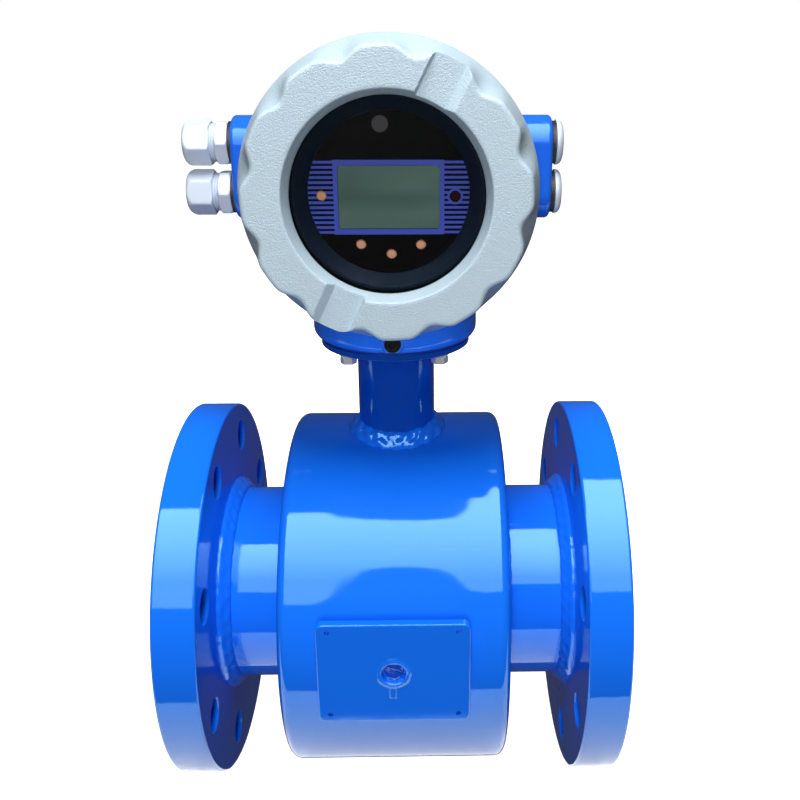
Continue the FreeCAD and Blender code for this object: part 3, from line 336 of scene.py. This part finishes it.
# Covers: two aluminium castings that screw over the spigots of the head, with finger scoops round
# the edge and two slots for a bar. The front one has a bevelled window opening, the rear one none.
HEAD_Z, FACE_H, SKIRT_R, SKIRT_H, BACK_H = 246.0, 75.0, 74.0, 50.0, 38.0
SCOOPS, SCOOP_HALF, SCOOP_FIRST, LOBE_R, VALLEY_R, EDGE_ROUND = 12, 10.0, 12.0, 68.5, 64.1, 1.8
SLOT_DEPTH, SLOT_START, SLOT_FLANKS = 3.5, 37.0, (-10.6, -9.0, 6.0, 12.3)
THREAD_R, THREAD_END, SEAT_R, LIP_R, LIP_H, BEVEL_R = 67.0, 54.0, 54.0, 46.6, 67.3, 49.6
BLIND_R, BLIND_H = 60.0, 70.0
ROUND = 1080


def scooped(h, inset):
    """Outer radius of a cover right round at one height."""
    share = max(0, (h - SKIRT_H) / (FACE_H - SKIRT_H))
    clock = np.arange(ROUND) * 360 / ROUND - SCOOP_FIRST
    pitch = 360 // SCOOPS
    off = np.abs(clock - pitch * np.round(clock / pitch))
    dip = np.cos(np.radians(90 * np.minimum(off / SCOOP_HALF, 1))) ** 2
    return SKIRT_R - inset - share * (SKIRT_R - LOBE_R + (LOBE_R - VALLEY_R) * dip)


def lower(a, b, soft=0.12):
    """The smaller of two measures, rounded where they meet."""
    return -soft * np.logaddexp(-a / soft, -b / soft)


def slotted(h, radius, slots):
    """Heights right round, let down into the slots: left flank steep, right flank sloped."""
    turn = np.arange(ROUND) * 2 * pi / ROUND
    radius = np.broadcast_to(radius, ROUND)
    for slot in slots:
        ahead = radius * np.cos(turn - radians(slot))
        aside = radius * np.sin(turn - radians(slot))
        deep = np.interp(aside, SLOT_FLANKS, [0, 1, 1, 0])
        deep = deep * np.clip((ahead - SLOT_START) / 0.8 + 0.5, 0, 1)
        h = lower(h, FACE_H + 2 - (SLOT_DEPTH + 2) * deep)
    return h


def cover_outside(slots, inner):
    """Profile from the back edge over skirt and scoops to the face, in towards inner."""
    profile = [(BACK_H, SKIRT_R - 1.0), (BACK_H + 0.3, SKIRT_R - 0.3), (BACK_H + 1, SKIRT_R)]
    profile += [(h, scooped(h, 0)) for h in (44, 48, 50, 52, 54)]
    for h in np.linspace(56, FACE_H - EDGE_ROUND, 14):
        profile.append((slotted(h, scooped(h, 0), slots), scooped(h, 0)))
    for turn in np.radians([15, 30, 45, 60, 75, 90]):
        h = FACE_H - EDGE_ROUND * (1 - sin(turn))
        radius = scooped(h, EDGE_ROUND * (1 - cos(turn)))
        profile.append((slotted(h, radius, slots), radius))
    edge = scooped(FACE_H, EDGE_ROUND)
    for share in np.linspace(0.06, 1, 12):
        radius = edge + (inner - edge) * share
        profile.append((slotted(FACE_H, radius, slots), radius))
    return profile


# Wrinkle powder coat: light grey, with blunt ridges 0.8 mm apart and finer ones between them that
# break every highlight into grain.
grey = finish("wrinkle_powder_coat", "#ABBFCB", {"Roughness": 0.42, "IOR": 1.5},
              [(0.8 * MM, 0.3 * MM, 2), (0.4 * MM, 0.07 * MM, 1)])
slots = (27, 205)
BEVEL = ((74.85, BEVEL_R + 0.1), (74.4, BEVEL_R - 0.2),
         (73, 48.9), (71.5, 48.3), (70, 47.65), (67.75, 46.65))
profile = cover_outside(slots, BEVEL_R + 0.5) + [(slotted(h, r, slots), r) for h, r in BEVEL]
profile += [(LIP_H, LIP_R), (LIP_H, SEAT_R), (THREAD_END, SEAT_R)]
profile += [(THREAD_END, THREAD_R), (BACK_H, THREAD_R)]
skin("front_cover_casting", around(profile, ROUND, (0, 0, HEAD_Z), (0, -1, 0)), grey, "cover_grey",
     "front_cover", "front_cover", closed=True)
slots = (207, 25)
FACE_RINGS = (52, 45, 40, 37.8, 37.4, 37, 36.6, 36.2, 34, 20, 5, 0.2)
profile = cover_outside(slots, BLIND_R) + [(slotted(FACE_H, r, slots), r) for r in FACE_RINGS]
profile += [(BLIND_H, 0.2), (BLIND_H, BLIND_R), (THREAD_END, BLIND_R)]
profile += [(THREAD_END, THREAD_R), (BACK_H, THREAD_R)]
skin("rear_cover_casting", around(profile, ROUND, (0, 0, HEAD_Z), (0, 1, 0)), grey, "cover_grey",
     "rear_cover", "rear_cover", closed=True)


# Window: a disc of toughened glass, pressed on its gasket by a turned aluminium ring that screws
# into the front cover from behind.

# Toughened glass: clear and colourless, so it adds only a thin sharp reflection to what is behind.
glass = finish("toughened_glass", "#020303", {
    "Roughness": 0.02, "IOR": 1.5, "Alpha": 0.16, "Specular IOR Level": 1.0,
})
dress(glass, "toughened_glass", "window_glass")
# Black anodised aluminium: the dyed oxide hides the metal and leaves an even black satin.
anodised = finish("black_anodised_aluminium", "#101113", {"Roughness": 0.35, "Specular IOR Level": 0.3},
                  FINE_GRAIN)
dress(anodised, "retainer_aluminium", "window_retainer")


# Display: a moulded black cup on posts in the front chamber carries a thin faceplate, printed with
# a blue frame and bars round the opening for the screen.

# Moulded black plastic, satin; its blue tint is a painted reflection, the navy sheen of the sky on the cup's
# cone put into its colour.
cup = finish("moulded_black_cup", "#0D1D2E", {"Roughness": 0.4, "Specular IOR Level": 0.2}, FINE_GRAIN)
dress(cup, "cup_plastic", "display_carrier")
SMOOTH_GRAIN = [(1 * MM, 0.002 * MM, 2)]
# Black polycarbonate sheet: deep black with a faint, even shine.
sheet = finish("black_faceplate_sheet", "#060608", {"Roughness": 0.3, "Specular IOR Level": 0.15},
               SMOOTH_GRAIN)
dress(sheet, "faceplate_plastic", "display_faceplate")
# Screen-printed ink: flat violet blue that covers the black fully.
ink = finish("screen_print", "#3F56CC", {"Roughness": 0.5}, SMOOTH_GRAIN)
dress(ink, "blue_print", "faceplate_print")


# Screen: a liquid crystal module between glass plates, soldered to the board behind the faceplate
# and switched off.

# Liquid crystal cell: grey green, with broad level streaks 70 mm long and 17 mm high mixed into its colour
# from dark to light, a painted reflection of the room in its polariser.
lcd = finish("lcd_cell", "#3A6664", {"Roughness": 0.3, "Specular IOR Level": 0.3}, SMOOTH_GRAIN)
tree = lcd.node_tree
place = add(tree, "ShaderNodeTexCoord", {}).outputs["Object"]
wide = add(tree, "ShaderNodeMapping", {"Scale": (14, 14, 60)}, {"Vector": place}).outputs[0]
painted_streaks = add(tree, "ShaderNodeTexNoise", {"Scale": 1.0, "Detail": 1}, {"Vector": wide})
streak_colour = add(tree, "ShaderNodeMix", {"data_type": "RGBA", 6: linear("#062E34"), 7: linear("#7C9C90")},
           {0: painted_streaks.outputs[0]})
tree.links.new(streak_colour.outputs[2], tree.nodes["Principled BSDF"].inputs["Base Color"])
dress(lcd, "lcd_glass", "lcd_module")


# Keys and windows of the faceplate: four round moulded keys that press on small switches, a remote
# control receiver cast in dark resin, and a round window over the lamp.

# Moulded salmon plastic: warm and smooth, with a slight shine on its rim.
salmon = finish("salmon_key", "#F2B28E", {"Roughness": 0.35}, FINE_GRAIN)
dress(salmon, "key_salmon", "key_left", "key_lower_left", "key_lower_middle", "key_lower_right")
# Moulded black switch cases: plain black, half matt.
switch = finish("switch_moulding", "#1A1A1A", {"Roughness": 0.4}, FINE_GRAIN)
dress(switch, "switch_black", "key_switches")
# Cast receiver resin: a red so dark that it looks black, with a clear shine.
resin = finish("dark_receiver_resin", "#2A0A0C", {"Roughness": 0.2}, SMOOTH_GRAIN)
dress(resin, "receiver_red", "infrared_receiver")
# Smoked acrylic: dim grey and even, a little lighter than the faceplate.
smoke = finish("smoked_lamp_window", "#4A474A", {"Roughness": 0.3}, SMOOTH_GRAIN)
dress(smoke, "lamp_grey", "lamp_window")


# Electronics: glass fibre boards on posts in both chambers, and the terminal blocks that take the
# cables' wires behind the rear cover.

# Solder mask over glass fibre: dark green lacquer, half gloss.
board = finish("solder_mask", "#0E5A2E", {"Roughness": 0.4}, FINE_GRAIN)
dress(board, "board_green", "display_board", "circuit_boards")
# Moulded terminal plastic: a lighter green, half matt.
green = finish("terminal_moulding", "#1E7A45", {"Roughness": 0.4}, FINE_GRAIN)
dress(green, "terminal_green", "terminal_blocks")


# Cable glands: white polyamide mouldings. The body screws into the boss over a black washer and
# shows a hexagon and a coarse thread, and a hexagon nut with a domed end screws on that thread.
def six_sided(flats, corner, degrees, steps):
    """Radius of a hexagon right round, its corners cut by a circle."""
    turn = np.degrees(np.arange(steps) * 2 * pi / steps) - degrees
    off = np.radians((turn + 30) % 60 - 30)
    return lower(flats / 2 / np.cos(off), corner + 0 * off, 0.12)


# Moulded polyamide: cool white satin, its edges softened by the mould.
polyamide = finish("moulded_polyamide", "#C2CDDB", {"Roughness": 0.35}, [(1 * MM, 0.006 * MM, 2)])
ENTRY_Y, ENTRIES = 9.0, {"upper": (265.25, 12.0), "lower": (238.75, 24.0)}
ACROSS_FLATS, CORNER_R, SHANK_R, CABLE_R, SEAL_R = 22.0, 12.6, 9.9, 6.0, 7.6
GLAND_PITCH, GLAND_THREAD_R, GLAND_THREAD_H, GLAND_THREAD_END = 1.25, 9.95, 0.42, 107.0
DOME_START, DOME_END, DOME_MIN, DOME_RISE = 107.2, 112.5, 8.0, 4.7
STEPS = 360
turn = np.arange(STEPS) * 2 * pi / STEPS
for place, (z, nut_turn) in ENTRIES.items():
    centre = (0, ENTRY_Y, z)
    hexagon = six_sided(ACROSS_FLATS, CORNER_R, 0, STEPS)
    profile = [(76, SHANK_R), (87, SHANK_R), (88, SHANK_R), (88, lower(hexagon, 11.4))]
    profile += [(88.5, lower(hexagon, 12.0)), (89, hexagon), (93.6, hexagon)]
    profile += [(94.2, lower(hexagon, 11.7)), (94.5, lower(hexagon, 11.2)), (94.5, 10.4)]
    for h in np.arange(94.7, GLAND_THREAD_END, 0.12):
        thread = GLAND_THREAD_H * np.cos(2 * pi * h / GLAND_PITCH - turn)
        profile.append((h, GLAND_THREAD_R + thread - 0.5 * (h > GLAND_THREAD_END - 0.6)))
    profile += [(107.1, 8.6), (107.1, SEAL_R), (100.1, SEAL_R), (100.1, CABLE_R), (76, CABLE_R)]
    skin(f"{place}_gland_moulding", around(profile, STEPS, centre, (-1, 0, 0)), polyamide, "gland_white",
         "root", f"{place}_gland_body", closed=True, crease=50)
    hexagon = six_sided(ACROSS_FLATS, CORNER_R, nut_turn, STEPS)
    profile = [(97.8, 10.4), (97.8, lower(hexagon, 11.5)), (98.1, lower(hexagon, 11.9)), (98.6, hexagon)]
    for h in np.linspace(99.2, DOME_END, 34):
        share = max(0, h - DOME_START) / (DOME_END - DOME_START)
        dome = DOME_MIN + DOME_RISE * sqrt(max(0, 1 - share**2))
        profile.append((h, lower(hexagon, dome, 0.25)))
    profile += [(112.5, 7.2), (112.2, 6.4), (111.6, CABLE_R), (107.7, CABLE_R), (107.7, 10.4)]
    skin(f"{place}_gland_cap", around(profile, STEPS, centre, (-1, 0, 0)), polyamide, "gland_white",
         f"{place}_gland_nut", f"{place}_gland_nut", closed=True, crease=50)


# Blanking plugs: two round polyamide screws with a coin slot, which close the entries on the other
# side of the head over rubber gaskets.
dress(polyamide, "gland_white", "upper_plug", "lower_plug")


# Studio floor: a pale board under the meter. Only the strip in front of the drum is let show in
# the enamel, as the edge of a table does.
def sheet_of(name, points, faces, material, **seen):
    """A flat or curved piece of the studio, hidden from the kinds of ray that are set False."""
    mesh = bpy.data.meshes.new(name)
    mesh.from_pydata(points, [], faces)
    mesh.materials.append(material)
    piece = bpy.data.objects.new(name, mesh)
    bpy.context.scene.collection.objects.link(piece)
    for kind, shown in seen.items():
        setattr(piece, "visible_" + kind, shown)


# Pale board, painted matt: bright and even, without shine.
pale = finish("pale_floor", "#F0F0F0", {"Roughness": 0.8}, [(5 * MM, 0.01 * MM, 2)])
FLOOR_Z = -0.1105
xs, ys = (-4, -0.8, 0.8, 4), (-4, -0.22, -0.045, 4)
grid = [(x, y, FLOOR_Z) for y in ys for x in xs]
cells = [(r * 4 + c, r * 4 + c + 1, r * 4 + c + 5, r * 4 + c + 4) for r in range(3) for c in range(3)]
sheet_of("table", grid, [cells[4]], pale, diffuse=False)
sheet_of("floor", grid, cells[:4] + cells[5:], pale, glossy=False, diffuse=False, transmission=False)


# Surround and diffuser: a white dome that shows only as the backdrop, and a lit curved cloth in
# front of the meter that gives the enamel its long bright bands.
def glowing(name, low, high):
    """A material that shines, by its height."""
    material = bpy.data.materials.new(name)
    material.use_nodes = True
    tree = material.node_tree
    tree.nodes.clear()
    glow = add(tree, "ShaderNodeEmission", {"Color": (1, 1, 1, 1)})
    place = add(tree, "ShaderNodeTexCoord", {}).outputs["Object"]
    height = add(tree, "ShaderNodeSeparateXYZ", {}, {0: place}).outputs["Z"]
    ramp = add(tree, "ShaderNodeMapRange", {"From Min": 0.5, "From Max": 0.95, "To Min": low, "To Max": high},
               {"Value": height})
    tree.links.new(ramp.outputs[0], glow.inputs["Strength"])
    add(tree, "ShaderNodeOutputMaterial", {}, {"Surface": glow.outputs[0]})
    return material


def rows_of_quads(rows, columns, closed=False):
    """Faces over rows of points; closed joins each row's end to its start."""
    wide = columns if closed else columns + 1
    return [(r * wide + c, r * wide + (c + 1) % wide, (r + 1) * wide + (c + 1) % wide, (r + 1) * wide + c)
            for r in range(rows) for c in range(columns)]


# Plain white glow: the same everywhere, so the backdrop has no edge.
dome = [(5 * cos(a) * cos(b), 5 * sin(a) * cos(b), 5 * sin(b))
        for b in np.linspace(-0.5, pi / 2, 9) for a in np.arange(24) * pi / 12]
sheet_of("surround", dome, rows_of_quads(8, 24, closed=True), glowing("white_surround", 1.0, 1.0),
         diffuse=False, glossy=False, transmission=False, shadow=False, volume_scatter=False)
# Lit cloth: brighter towards its top, and cut in curves at both edges, so the bands taper.
across = np.linspace(-0.55, 0.45, 41)
low = np.interp(across, [-0.19, -0.13, -0.09, -0.03, 0.03, 0.066, 0.09, 0.14],
                [16, 20, 36, 38, 36.5, 31.5, 24, 22.5])
high = np.interp(across, [-0.15, -0.11, -0.01, 0.066, 0.097, 0.11, 0.15],
                 [71.5, 67.5, 65.3, 67, 70, 83, 88])
cloth = [(x, -cos(radians(a + (b - a) * s)), sin(radians(a + (b - a) * s)))
         for s in np.linspace(0, 1, 25) for x, a, b in zip(across, low, high)]
sheet_of("diffuser", cloth, rows_of_quads(24, 40), glowing("diffuser_cloth", 3.6, 9.5),
         camera=False, diffuse=False, transmission=False, shadow=False)


# Lights: soft panels in front, above and behind, a weak one for what the table throws up under the
# head, and an even light that keeps the floor white. A faint glow of the air fills the shade.
def lamp(name, kind, at, aim, strength, **sizes):
    """A light at one point, turned to face another; it isn't seen in reflections."""
    light = bpy.data.lights.new(name, kind)
    light.energy = strength
    for key, value in sizes.items():
        setattr(light, key, value)
    piece = bpy.data.objects.new(name, light)
    bpy.context.scene.collection.objects.link(piece)
    piece.location = at
    piece.rotation_euler = (Vector(aim) - Vector(at)).to_track_quat("-Z", "Y").to_euler()
    piece.visible_glossy = False
    piece.visible_camera = False
    return piece


def only(light, *names):
    """Lets a light reach only the objects of these names."""
    lit = bpy.data.collections.new(light.name + "_reaches")
    for name in names:
        lit.objects.link(bpy.data.objects[name])
    light.light_linking.receiver_collection = lit


# The front panel is set against the shade under the head, so it reaches the neck only in part.
SHADED = ("neck_tube", "neck_flange", "neck_top_weld")
meshes = [piece.name for piece in bpy.data.objects if piece.type == "MESH"]
open_to_front = [name for name in meshes if name not in SHADED]
FRONT, AIM, UNDER_HEAD = (-0.02, -1.10, 0.42), (0, 0, 0.10), (0, -0.04, 0.18)
NARROW = {"shape": "RECTANGLE", "size": 0.22, "size_y": 0.8}
lamp("front_panel_part", "AREA", FRONT, AIM, 0.7 * pi, **NARROW)
only(lamp("front_panel", "AREA", FRONT, AIM, 2.15 * pi, **NARROW), *open_to_front)
lamp("top_panel", "AREA", (0, -0.25, 1.3), AIM, 6.8 * pi, shape="RECTANGLE", size=0.4, size_y=0.8)
lamp("rear_panel", "AREA", (0, 1.2, 0.5), AIM, 2.6 * pi, shape="RECTANGLE", size=0.6, size_y=0.8)
SMALL = {"shape": "RECTANGLE", "size": 0.3, "size_y": 0.3}
only(lamp("table_bounce", "AREA", (0.1, -0.7, 0), UNDER_HEAD, 0.6 * pi, **SMALL), "head_foot")
only(lamp("floor_light", "SUN", (0, 0, 3), (0, 0, 0), 4.0, use_shadow=False), "table", "floor")

world = bpy.data.worlds.new("studio")
bpy.context.scene.world = world
world.use_nodes = True
air = world.node_tree
air.nodes.clear()
back = add(air, "ShaderNodeBackground", {"Color": (1, 1, 1, 1), "Strength": 0.06})
add(air, "ShaderNodeOutputWorld", {}, {"Surface": back.outputs[0]})


# Camera: half a metre in front of the meter and a little above it, looking down, on a standard
# frame 36 mm wide. Colours are shown as they are, with no film curve.
camera_data = bpy.data.cameras.new("camera")
camera_data.sensor_width = 36
camera_data.lens = 40.71
camera_data.shift_x = -0.0559
camera_data.shift_y = -0.0426
camera = bpy.data.objects.new("camera", camera_data)
bpy.context.scene.collection.objects.link(camera)
LEFT, DOWN = 1.09, 18.38
tilt = Matrix.Rotation(radians(-LEFT), 4, "Z") @ Matrix.Rotation(radians(90 - DOWN), 4, "X")
camera.matrix_world = Matrix.Translation((0.0187, -0.4978, 0.3051)) @ tilt
bpy.context.scene.camera = camera
bpy.context.scene.view_settings.view_transform = "Standard"
